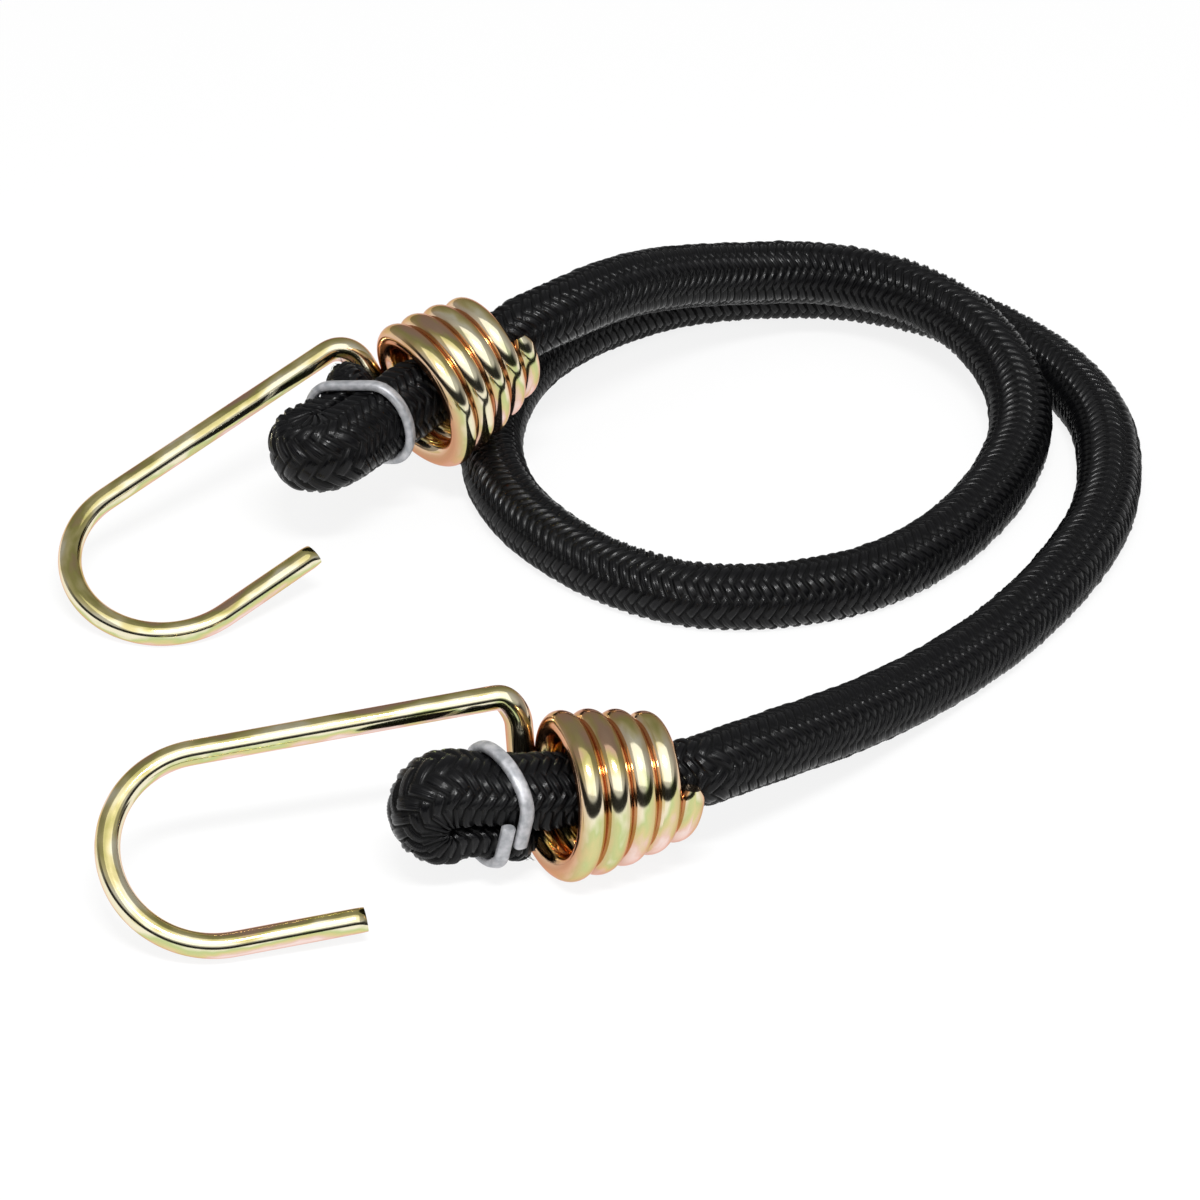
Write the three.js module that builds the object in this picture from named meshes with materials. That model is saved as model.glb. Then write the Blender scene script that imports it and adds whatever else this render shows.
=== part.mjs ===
// Bungee cord with two wire hooks, lying in a loose loop on a table.
// Millimetres, +Z up, origin on the table under the middle of the two hooks.
// The cord is a braided sheath over rubber strands. At each end it runs out through the conical coil
// of a wire hook, folds back on itself and is crimped by a hog ring, so that the fold stops the coil.

import * as THREE from 'three';

// Cord
const CORD_DIAMETER = 12.5;
const SHEATH_WALL = 1.2;
const TABLE_FLAT = 1.25; // depth by which the soft cord flattens on the table
const STRAND_GAP = 0.3; // strand to strand, and strand to sheath
const OUTER_STRANDS = 6; // laid round one middle strand
const CORD_SIDES = 10;
const STRAND_SIDES = 4; // rubber thread is cut square
const LOOP_STEPS = 44;

// Folded cord ends. The cord leaves the coil's axis inside the mouth, at the neck, and leans off it under
// the bulk of the fold. Lengths are measured from the neck along the leaning leg.
const NECK_SETBACK = 6.5;
const TAIL_SETBACK = 11; // neck to the cut end of the cord
const LEG_THICKNESS = 10.6; // one leg, squeezed across the fold
const LEG_WIDTH = 14.2; // one leg, bulged along the crease
const LEG_GAP = 0.5;
const WAIST_THICKNESS = 8.8; // one leg inside the ring
const WAIST_LENGTH = 8;
const NECK_STEPS = 3;
const TURN_STEPS = 10;

// Hog rings
const RING_WIDTH = 2.5; // flat wire, along the cord
const RING_THICKNESS = 1.8;
const RING_CLEARANCE = 0.3;
const RING_END_GAP = 0.5; // between the two ends where they pass each other
const RING_OVERLAP = 2; // each end runs this far past the crease
const RING_BEND_STEPS = 8;
const RING_WIRE_SIDES = 6;

// Wire hooks, in the frame of their coil: X out of the mouth along the axis, Y towards the shank
const WIRE_DIAMETER = 4.3;
const WIRE_SIDES = 8;
const COIL_TURNS = 4.5;
const COIL_STEPS = 20; // in one turn
const COIL_TURN_GAP = 0.48;
const COIL_MOUTH_RADIUS = 12.6; // axis to wire centre
const COIL_CORD_CLEARANCE = 0.35; // wire to cord at the narrow end
const COIL_TAPER = 1.8; // power of the cone's curve: it closes faster towards the narrow end
const SHANK_OFFSET = 20.4; // axis to wire centre
const TIP_OFFSET = 15.6; // the same on the other side
const HOOK_REACH = 80; // mouth to wire centre at the far end of the bend
const TIP_LENGTH = 21.5;
const CORNER_RADIUS = 5.5;
const BEND_STEPS = 14;
const CORNER_STEPS = 4;

// Where each end lies: the mouth of its coil, the axis's heading and dip, and the hook's roll about the axis.
// Then how its cord is folded: the length from the neck, the lean off the axis and the direction of that
// lean about the axis, the tail's direction about the leg and how far the cut end stands off the leg. Last
// its ring: the place from the neck, the slant away from the neck on the tail's side, the skew towards the
// neck at the ring's ends and the side of the fold where these meet.
const END_A = {
  coil: { mouth: [9, 68, 23.2], heading: 219.3, dip: 14, roll: 162.8 },
  fold: { length: 41.5, lean: 15.5, leanTo: 239, tail: 149, flare: 1.5 },
  ring: { place: 21.5, slant: 14, skew: 0, crease: -1 },
};
const END_B = {
  coil: { mouth: [36.7, -57.8, 14.85], heading: 194.5, dip: 2.7, roll: 145.8 },
  fold: { length: 37, lean: 14, leanTo: 310, tail: 164, flare: 0 },
  ring: { place: 19, slant: 0, skew: 20, crease: 1 },
};
const COIL_LEAD = 4; // the cord runs on straight for this length past the narrow end

// The cord's way from end A to end B: X, Y and the lift of its centre above where it lies on the table
const ROUTE = [
  [35.5, 89.5, 25],
  [47.5, 103, 22.8],
  [59.5, 116, 18],
  [71.5, 125.5, 13.5],
  [84.5, 131, 10.8],
  [97.5, 130, 9.5],
  [109.5, 123, 8.7],
  [119, 112, 7],
  [125, 99, 3.8],
  [126, 85.5, 1.2],
  [123.5, 74, 0],
  [117.5, 58.5, 0],
  [107, 42, 0],
  [93.5, 30, 0],
  [77, 24, 0],
  [61, 24, 0],
  [46, 31.5, 0],
  [33, 45, 0],
  [24.5, 61, 0],
  [21.5, 79.5, 0],
  [23.5, 97, 0],
  [30.5, 115.5, 0],
  [43, 130, 0],
  [58, 139.5, 0],
  [75, 143.5, 0],
  [93, 143, 0],
  [110, 136.5, 0],
  [124, 124, 0],
  [135, 108.5, 0],
  [141.5, 91, 0],
  [142.5, 72.5, 0],
  [139, 51.5, 0],
  [130, 30.5, 0],
  [117.5, 10.5, 0],
  [106, -4, 0.8],
  [94.5, -18, 3.2],
  [83.5, -31, 6.6],
  [72, -42.5, 9.6],
];

// Sizes that follow
const CORD_RADIUS = CORD_DIAMETER / 2;
const LYING_HEIGHT = CORD_RADIUS - TABLE_FLAT;
const STRAND_RADIUS = (LYING_HEIGHT - SHEATH_WALL - 2 * STRAND_GAP) / 3;
const STRAND_CIRCLE = 2 * STRAND_RADIUS + STRAND_GAP;
const LEG_OFFSET = (LEG_THICKNESS + LEG_GAP) / 2;
const WAIST_OFFSET = (WAIST_THICKNESS + LEG_GAP) / 2;
const FREE_CORD = { thick: CORD_DIAMETER, wide: CORD_DIAMETER };
const LEG = { thick: LEG_THICKNESS, wide: LEG_WIDTH };
const WAIST = { thick: WAIST_THICKNESS, wide: LEG_WIDTH };
const WIRE_RADIUS = WIRE_DIAMETER / 2;
const COIL_PITCH = WIRE_DIAMETER + COIL_TURN_GAP;
const COIL_END_RADIUS = CORD_RADIUS + COIL_CORD_CLEARANCE + WIRE_RADIUS;
const COIL_FIRST = COIL_PITCH / 2; // the wire's place along the axis where the coil starts
const COIL_LAST = COIL_FIRST - COIL_TURNS * COIL_PITCH;
const NARROW_END = COIL_LAST - WIRE_RADIUS - COIL_LEAD;
const BEND_RADIUS = (SHANK_OFFSET + TIP_OFFSET) / 2;
const BEND_CENTRE = HOOK_REACH - BEND_RADIUS;

const { degToRad, lerp } = THREE.MathUtils;
const vec = (x, y, z) => new THREE.Vector3(x, y, z);
const smooth = (t) => THREE.MathUtils.smoothstep(t, 0, 1);
const span = (steps) => Array.from({ length: steps + 1 }, (_, i) => i / steps);

// The direction of a line of points at one of them, halfway between its two neighbours' directions.
function tangentAt(points, i) {
  const before = points[i].clone().sub(points[Math.max(i - 1, 0)]).normalize();
  const after = points[Math.min(i + 1, points.length - 1)].clone().sub(points[i]).normalize();
  return before.add(after).normalize();
}

// Section frames along a line of points, carried without twist both ways from the one at index start.
function framesAlong(points, up, start = 0) {
  const tangents = points.map((_, i) => tangentAt(points, i));
  const square = (v, i) => v.clone().addScaledVector(tangents[i], -v.dot(tangents[i])).normalize();
  const ups = [];
  ups[start] = square(up, start);
  for (let i = start + 1; i < points.length; i += 1) {
    ups[i] = square(ups[i - 1], i);
  }
  for (let i = start - 1; i >= 0; i -= 1) {
    ups[i] = square(ups[i + 1], i);
  }
  return points.map((point, i) => ({ point, up: ups[i], side: ups[i].clone().cross(tangents[i]) }));
}

// A regular section of the given half sizes, in a frame's side and up directions.
function section(sides, across, upwards = across) {
  return Array.from({ length: sides }, (_, k) => {
    const angle = (2 * Math.PI * k) / sides - Math.PI / 2;
    return new THREE.Vector2(across * Math.cos(angle), upwards * Math.sin(angle));
  });
}

// A section set into a frame.
function setIn(frame, outline) {
  const { point, side, up } = frame;
  return outline.map((p) => point.clone().addScaledVector(side, p.x).addScaledVector(up, p.y));
}

// One closed skin over rings of points: the outer rings, and back through the inner rings of a hollow one.
function skin(outer, inner = null) {
  const sides = outer[0].length;
  const loops = inner ? [...outer, ...inner.toReversed()] : outer;
  const index = [];
  const join = (a, b) => {
    for (let k = 0; k < sides; k += 1) {
      const next = (k + 1) % sides;
      index.push(a * sides + k, a * sides + next, b * sides + next);
      index.push(a * sides + k, b * sides + next, b * sides + k);
    }
  };
  for (let i = 0; i + 1 < loops.length; i += 1) {
    join(i, i + 1);
  }
  if (inner) {
    join(loops.length - 1, 0);
  } else {
    const last = (loops.length - 1) * sides;
    for (let k = 1; k + 1 < sides; k += 1) {
      index.push(0, k + 1, k);
      index.push(last, last + k, last + k + 1);
    }
  }
  const geometry = new THREE.BufferGeometry();
  geometry.setFromPoints(loops.flat());
  geometry.setIndex(index);
  geometry.computeVertexNormals();
  return geometry;
}

// The least clear width between parts of a round line that lie further apart along it than the given length.
function leastGap(points, diameter, apart) {
  const along = [0];
  for (let i = 1; i < points.length; i += 1) {
    along.push(along[i - 1] + points[i].distanceTo(points[i - 1]));
  }
  let least = Infinity;
  for (let i = 0; i < points.length; i += 1) {
    for (let j = i + 1; j < points.length; j += 1) {
      if (along[j] - along[i] > apart) {
        least = Math.min(least, points[i].distanceTo(points[j]) - diameter);
      }
    }
  }
  return least;
}

// Centre line of one hook's wire, from its tip round the bend and up the shank into the coil.
function hookLine() {
  const points = [vec(BEND_CENTRE - TIP_LENGTH, -TIP_OFFSET, 0)];
  const middle = SHANK_OFFSET - BEND_RADIUS;
  for (const t of span(BEND_STEPS)) {
    const angle = Math.PI * (t - 0.5);
    points.push(vec(BEND_CENTRE + BEND_RADIUS * Math.cos(angle), middle + BEND_RADIUS * Math.sin(angle), 0));
  }
  // The riser leaves the shank at a rounded corner and meets the coil's first turn as a tangent.
  const touch = Math.acos(COIL_MOUTH_RADIUS / SHANK_OFFSET);
  const corner = vec(COIL_FIRST, SHANK_OFFSET, 0);
  const riser = vec(0, -Math.sin(touch), Math.cos(touch));
  for (const t of span(CORNER_STEPS)) {
    const angle = (Math.PI / 2) * t;
    const p = corner.clone();
    p.x += CORNER_RADIUS * (1 - Math.sin(angle));
    points.push(p.addScaledVector(riser, CORNER_RADIUS * (1 - Math.cos(angle))));
  }
  return points.concat(coilLine(touch));
}

// Centre line of the coil, a cone with curved sides that narrows onto the cord.
function coilLine(touch) {
  return span(COIL_TURNS * COIL_STEPS).map((t) => {
    const angle = touch + 2 * Math.PI * COIL_TURNS * t;
    const radius = COIL_MOUTH_RADIUS - (COIL_MOUTH_RADIUS - COIL_END_RADIUS) * t ** COIL_TAPER;
    const along = lerp(COIL_FIRST, COIL_LAST, t);
    return vec(along, radius * Math.cos(angle), radius * Math.sin(angle));
  });
}

// Centre line of one folded cord end in the fold's frame, X along the standing leg and Y towards the tail: up
// the leg, round the turn and down the tail. Each point has the cord's size across the fold and along the
// crease there. The legs are thinner in the ring's waist.
function foldLine(fold, ring) {
  const line = span(NECK_STEPS).map((t) => ({
    at: vec(TAIL_SETBACK * t, 0, 0),
    thick: lerp(CORD_DIAMETER, LEG_THICKNESS, smooth(t)),
    wide: lerp(CORD_DIAMETER, LEG_WIDTH, smooth(t)),
  }));
  const waist = [ring.place - WAIST_LENGTH / 2, ring.place + WAIST_LENGTH / 2];
  waist.forEach((x) => line.push({ at: vec(x, 0, 0), ...WAIST }));
  const centre = vec(fold.length - LEG_OFFSET - LEG_THICKNESS / 2, LEG_OFFSET, 0);
  for (const t of span(TURN_STEPS)) {
    const round = vec(Math.sin(Math.PI * t), -Math.cos(Math.PI * t), 0);
    line.push({ at: centre.clone().addScaledVector(round, LEG_OFFSET), ...LEG });
  }
  waist.toReversed().forEach((x) => line.push({ at: vec(x, 2 * WAIST_OFFSET, 0), ...WAIST }));
  line.push({ at: vec(TAIL_SETBACK, 2 * LEG_OFFSET + fold.flare, 0), ...LEG });
  return line;
}

// Centre line of a hog ring in the fold's frame, once round both legs with its ends passing at the crease.
function ringLine({ place, slant, skew, crease }) {
  const clear = RING_CLEARANCE + RING_THICKNESS / 2;
  const height = WAIST_THICKNESS / 2 + clear;
  const width = LEG_WIDTH / 2 + clear;
  const shift = (RING_WIDTH + RING_END_GAP) / 2;
  const flat = [[-RING_OVERLAP, width]];
  for (const leg of [1, -1]) {
    for (const t of span(RING_BEND_STEPS)) {
      const angle = Math.PI * t;
      flat.push([leg * (WAIST_OFFSET + height * Math.sin(angle)), leg * width * Math.cos(angle)]);
    }
  }
  flat.push([RING_OVERLAP, width]);
  return flat.map(([y, z], i) => {
    const pass = shift * (1 - (2 * i) / (flat.length - 1));
    const along = place + pass + y * Math.tan(degToRad(slant)) - z * Math.tan(degToRad(skew));
    return vec(along, WAIST_OFFSET + y, crease * z);
  });
}

// One end of the cord: a group in the coil's frame that holds the hook, with the fold's frame inside it.
function placeEnd({ coil: { mouth, heading, dip, roll }, fold, ring }) {
  const coil = new THREE.Group();
  coil.position.set(...mouth);
  coil.rotation.set(degToRad(roll), degToRad(dip), degToRad(heading), 'ZYX');
  const leg = new THREE.Group();
  leg.position.x = -NECK_SETBACK;
  leg.rotation.set(degToRad(fold.leanTo), 0, degToRad(fold.lean), 'XYZ');
  const legs = new THREE.Group();
  legs.rotation.x = degToRad(fold.tail);
  coil.add(leg);
  leg.add(legs);
  coil.updateMatrixWorld(true);
  return { coil, legs, fold, ring };
}

// The stations of one cord end, from the narrow end of the coil to the tail: the centre, the two sizes and
// the direction along the crease.
function endStations({ coil, legs, fold, ring }) {
  const crease = vec(0, 0, 1).transformDirection(legs.matrixWorld);
  const narrow = { at: coil.localToWorld(vec(NARROW_END, 0, 0)), ...FREE_CORD, crease };
  const folded = foldLine(fold, ring);
  return [narrow, ...folded.map(({ at, ...size }) => ({ at: legs.localToWorld(at), ...size, crease }))];
}

// Every station of the cord, from the tail in fold A along the loop to the tail in fold B.
function cordStations(a, b) {
  const foldA = endStations(a);
  const foldB = endStations(b);
  const free = ROUTE.map(([x, y, lift]) => vec(x, y, LYING_HEIGHT + lift));
  const loop = new THREE.CatmullRomCurve3([foldA[0].at, ...free, foldB[0].at], false, 'centripetal');
  const inner = loop.getSpacedPoints(LOOP_STEPS).slice(1, -1).map((at) => ({ at, ...FREE_CORD }));
  const fine = loop.getSpacedPoints(12 * LOOP_STEPS);
  return { stations: [...foldA.toReversed(), ...inner, ...foldB], fine };
}

// Frames of the cord's sections, each with the sizes of its station.
function cordFrames(stations) {
  const middle = Math.round(stations.length / 2);
  const frames = framesAlong(stations.map(({ at }) => at), vec(0, 0, 1), middle);
  return frames.map((frame, i) => ({ ...frame, ...stations[i] }));
}

// A section of the cord, thinner across the fold and wider along the crease where it is squeezed.
function cordRing(frame, outline) {
  const { point, thick, wide, crease } = frame;
  const ring = setIn(frame, outline);
  if (thick === wide) {
    return ring;
  }
  const across = thick / CORD_DIAMETER;
  const along = wide / CORD_DIAMETER;
  return ring.map((p) => {
    const offset = p.sub(point);
    const part = offset.dot(crease);
    return offset.multiplyScalar(across).addScaledVector(crease, part * (along - across)).add(point);
  });
}

// A ring of the cord that reaches no lower than the given height.
function restOn(ring, height) {
  return ring.map((p) => vec(p.x, p.y, Math.max(p.z, height)));
}

function sheathGeometry(frames) {
  const outer = section(CORD_SIDES, CORD_RADIUS);
  const inner = section(CORD_SIDES, CORD_RADIUS - SHEATH_WALL);
  return skin(
    frames.map((frame) => restOn(cordRing(frame, outer), 0)),
    frames.map((frame) => restOn(cordRing(frame, inner), SHEATH_WALL)),
  );
}

function strandGeometry(frames, centre) {
  const outline = section(STRAND_SIDES, STRAND_RADIUS).map((p) => p.add(centre));
  return skin(frames.map((frame) => cordRing(frame, outline)));
}

function hookGeometry() {
  const frames = framesAlong(hookLine(), vec(0, 0, 1));
  return skin(frames.map((frame) => setIn(frame, section(WIRE_SIDES, WIRE_RADIUS))));
}

function ringGeometry(ring) {
  const frames = framesAlong(ringLine(ring), vec(1, 0, 0));
  const outline = section(RING_WIRE_SIDES, RING_THICKNESS / 2, RING_WIDTH / 2);
  return skin(frames.map((frame) => setIn(frame, outline)));
}

const braid = new THREE.MeshStandardMaterial({ color: 0x141416, roughness: 0.55, metalness: 0 });
const rubber = new THREE.MeshStandardMaterial({ color: 0xb9a98a, roughness: 0.8, metalness: 0 });
const zinc = new THREE.MeshStandardMaterial({ color: 0xcbb679, roughness: 0.22, metalness: 1 });
const galvanised = new THREE.MeshStandardMaterial({ color: 0xc9cacc, roughness: 0.45, metalness: 0.9 });

function mesh(name, geometry, material) {
  const made = new THREE.Mesh(geometry, material);
  made.name = name;
  return made;
}

const bungee = new THREE.Group();
const endA = placeEnd(END_A);
const endB = placeEnd(END_B);
const { stations, fine } = cordStations(endA, endB);
const cord = cordFrames(stations);

bungee.add(mesh('braided_sheath', sheathGeometry(cord), braid));
bungee.add(mesh('rubber_strand_0', strandGeometry(cord, new THREE.Vector2()), rubber));
for (let k = 0; k < OUTER_STRANDS; k += 1) {
  const angle = (2 * Math.PI * (k + 0.5)) / OUTER_STRANDS + Math.PI / 2;
  const centre = new THREE.Vector2(STRAND_CIRCLE * Math.cos(angle), STRAND_CIRCLE * Math.sin(angle));
  bungee.add(mesh(`rubber_strand_${k + 1}`, strandGeometry(cord, centre), rubber));
}
endA.coil.add(mesh('hook_a', hookGeometry(), zinc));
endB.coil.add(mesh('hook_b', hookGeometry(), zinc));
endA.legs.add(mesh('hog_ring_a', ringGeometry(END_A.ring), galvanised));
endB.legs.add(mesh('hog_ring_b', ringGeometry(END_B.ring), galvanised));
bungee.add(endA.coil, endB.coil);

// The legs lie side by side at the cut end, at both ends of the waist and where the turn starts.
const foldGaps = [END_A, END_B].map(({ fold, ring }) => {
  const folded = foldLine(fold, ring).slice(NECK_STEPS);
  const gaps = folded.slice(0, 4).map((leg, i) => {
    const tail = folded.at(-1 - i);
    return leg.at.distanceTo(tail.at) - (leg.thick + tail.thick) / 2;
  });
  return Math.min(...gaps).toFixed(2);
});
const turnLength = Math.PI * COIL_END_RADIUS;
console.log('least gap in the loop', leastGap(fine, CORD_DIAMETER, 4 * CORD_DIAMETER).toFixed(2));
console.log('least gap in each fold', foldGaps.join(' and '));
console.log('least gap in a coil', leastGap(coilLine(0), WIRE_DIAMETER, turnLength).toFixed(2));

export default bungee;
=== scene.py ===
"""Bungee cord with two plated wire hooks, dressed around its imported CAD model.

Everything is in metres in the frame of the CAD model, with +Z up and the table at z = 0. The cord is a
braided sheath over rubber threads. At each end it runs through the conical coil of a wire hook, folds
back on itself and is crimped by a hog ring.
"""

import logging
import math
from dataclasses import dataclass, field
from enum import Enum

import bpy
import numpy as np
from mathutils import Matrix


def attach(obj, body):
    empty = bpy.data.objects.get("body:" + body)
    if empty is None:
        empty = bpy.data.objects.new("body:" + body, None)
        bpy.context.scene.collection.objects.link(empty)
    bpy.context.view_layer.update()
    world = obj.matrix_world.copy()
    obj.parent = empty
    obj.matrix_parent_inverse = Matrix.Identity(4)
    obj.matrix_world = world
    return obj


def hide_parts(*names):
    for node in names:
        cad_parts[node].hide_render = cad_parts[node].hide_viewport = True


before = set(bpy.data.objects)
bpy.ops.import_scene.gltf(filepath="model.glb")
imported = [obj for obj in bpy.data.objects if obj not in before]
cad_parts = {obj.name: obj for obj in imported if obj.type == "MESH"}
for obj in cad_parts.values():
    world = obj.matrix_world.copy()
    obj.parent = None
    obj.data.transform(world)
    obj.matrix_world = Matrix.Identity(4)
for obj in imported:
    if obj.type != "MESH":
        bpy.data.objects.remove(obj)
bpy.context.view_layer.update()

MM = 0.001
CORD_DIAMETER = 12.5 * MM
# Tiny keeps a divisor from zero, and nudge puts a point on a yarn's edge into the next yarn.
TINY = 1e-9
NUDGE = 1e-6
LOG = logging.getLogger("bungee_cord")
Socket = bpy.types.NodeSocket


def turn(axis: str, degrees: float) -> np.ndarray:
    """Make a rotation about one of the axes.

    Args:
        axis: The letter of the axis, x, y or z.
        degrees: The angle, counter-clockwise seen from the axis's tip.

    Returns:
        A 3 by 3 rotation matrix.
    """
    c, s = math.cos(math.radians(degrees)), math.sin(math.radians(degrees))
    rows = {
        "x": [[1, 0, 0], [0, c, -s], [0, s, c]],
        "y": [[c, 0, s], [0, 1, 0], [-s, 0, c]],
        "z": [[c, -s, 0], [s, c, 0], [0, 0, 1]],
    }
    return np.array(rows[axis])


def smooth(t: np.ndarray) -> np.ndarray:
    """Ease from 0 to 1 with level ends."""
    return t * t * (3 - 2 * t)


def units(vectors: np.ndarray) -> np.ndarray:
    """Scale each row to length 1."""
    return vectors / np.linalg.norm(vectors, axis=-1, keepdims=True)


def once_round(count: int) -> np.ndarray:
    """Give even angles once round, from 0."""
    return 2 * np.pi * np.arange(count) / count


def lengths_along(line: np.ndarray) -> np.ndarray:
    """Measure the way from a line's first point to each of its points."""
    steps = np.linalg.norm(np.diff(line, axis=0), axis=1)
    return np.concatenate([[0.0], np.cumsum(steps)])


def evenly(line: np.ndarray, count: int, *values: np.ndarray) -> list[np.ndarray]:
    """Place points at equal steps along a line.

    Args:
        line: Points of the line, one per row.
        count: The number of points to return.
        *values: Numbers or vectors that belong to the line's points.

    Returns:
        The new points, then each of the values at these points.
    """
    along = lengths_along(line)
    places = np.linspace(0, along[-1], count)
    found = []
    for value in (line, *values):
        columns = value.reshape(len(line), -1).T
        even = np.stack([np.interp(places, along, column) for column in columns], axis=1)
        found.append(even.reshape(count, *value.shape[1:]))
    return found


def rounded(line: np.ndarray, reach: int) -> np.ndarray:
    """Round off the corners of a line of even points.

    Args:
        line: Points of the line, one per row.
        reach: How many points to each side take part in a point's mean.

    Returns:
        As many points, with the same two ends.
    """
    weights = np.hanning(2 * reach + 3)[1:-1]
    weights /= weights.sum()
    before = 2 * line[0] - line[reach:0:-1]
    after = 2 * line[-1] - line[-2:-reach - 2:-1]
    longer = np.concatenate([before, line, after])
    return np.stack([np.convolve(column, weights, "valid") for column in longer.T], axis=1)


def frames_along(line: np.ndarray, up: np.ndarray, start: int = 0) -> tuple[np.ndarray, np.ndarray]:
    """Carry a section's directions along a line without twist.

    Args:
        line: Points of the line, one per row.
        up: The up direction at the point where it starts.
        start: The index of that point.

    Returns:
        The side and up directions at each point.
    """
    tangents = units(np.gradient(line, axis=0))
    ups = np.zeros_like(line)

    def square(vector: np.ndarray, i: int) -> np.ndarray:
        """Take out the part of a vector that runs along the line."""
        return units(vector - tangents[i] * (vector @ tangents[i]))

    ups[start] = square(up, start)
    for i in range(start + 1, len(line)):
        ups[i] = square(ups[i - 1], i)
    for i in range(start - 1, -1, -1):
        ups[i] = square(ups[i + 1], i)
    return np.cross(ups, tangents), ups


def sections(side: np.ndarray, up: np.ndarray, across: np.ndarray, upward: np.ndarray) -> np.ndarray:
    """Set a section's points, by their ways to the side and up, into the frames along a line."""
    return side[:, None, :] * across[..., None] + up[:, None, :] * upward[..., None]


def scatter(keys: np.ndarray) -> np.ndarray:
    """Give each number a value of its own between 0 and 1, the same in each run."""
    return np.mod(np.sin(keys * 12.9898 + 4.1414) * 43758.5453, 1.0)


@dataclass
class Skin:
    """A mesh in the making, from tubes with flat ends."""

    points: list[np.ndarray] = field(default_factory=list)
    quads: list[np.ndarray] = field(default_factory=list)
    ends: list[np.ndarray] = field(default_factory=list)
    maps: list[np.ndarray] = field(default_factory=list)
    count: int = 0

    def sweep(self, rings: np.ndarray, around: float = 1.0, along: np.ndarray | None = None) -> None:
        """Add a tube through rings of points. Its ends have points of their own, for a crisp edge.

        Args:
            rings: Points by ring and by place round the ring.
            around: The value of the map's first coordinate once round.
            along: The map's second coordinate at each ring, 0 to 1 where it isn't given.
        """
        total, sides = rings.shape[:2]
        along = np.linspace(0, 1, total) if along is None else along
        place = np.arange(sides)
        first = np.arange(total - 1)[:, None] * sides + place
        following = np.arange(total - 1)[:, None] * sides + (place + 1) % sides
        quads = np.stack([first, following, following + sides, first + sides], axis=-1)
        left, right = place / sides * around, (place + 1) / sides * around
        low, high = along[:-1, None], along[1:, None]
        corners = [(left, low), (right, low), (right, high), (left, high)]
        grid = [np.stack(np.broadcast_arrays(*corner), axis=-1) for corner in corners]
        self.quads.append(quads.reshape(-1, 4) + self.count)
        self.maps.append(np.stack(grid, axis=-2).reshape(-1, 2))
        self.points.append(rings.reshape(-1, 3))
        self.count += total * sides
        for ring, order in ((rings[0], place[::-1]), (rings[-1], place)):
            self.ends.append(order + self.count)
            self.points.append(ring)
            self.count += sides

    def made(self, name: str) -> bpy.types.Object:
        """Turn the skin into a smooth shaded object of the scene.

        Args:
            name: The new object's name.

        Returns:
            The object, linked to the scene.
        """
        faces = np.concatenate(self.quads).tolist() + [end.tolist() for end in self.ends]
        mesh = bpy.data.meshes.new(name)
        mesh.from_pydata(np.concatenate(self.points), [], faces, shade_flat=False)
        maps = np.concatenate(self.maps)
        places = np.zeros((len(mesh.loops), 2), np.float32)
        places[:len(maps)] = maps
        mesh.uv_layers.new(name="lay").data.foreach_set("uv", places.ravel())
        made = bpy.data.objects.new(name, mesh)
        bpy.context.scene.collection.objects.link(made)
        return made


def paint_points(piece: bpy.types.Object, name: str, values: np.ndarray) -> None:
    """Keep one number at each point of a piece for its material.

    Args:
        piece: The object whose mesh is painted.
        name: The name of the attribute.
        values: One number per point.
    """
    layer = piece.data.attributes.new(name, "FLOAT", "POINT")
    layer.data.foreach_set("value", values.astype(np.float32).ravel())


class Blend(Enum):
    """What a mix node blends: its data type, the places of its two inputs and that of its output."""

    NUMBERS = ("FLOAT", 2, 3, 0)
    COLOURS = ("RGBA", 6, 7, 2)


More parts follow.
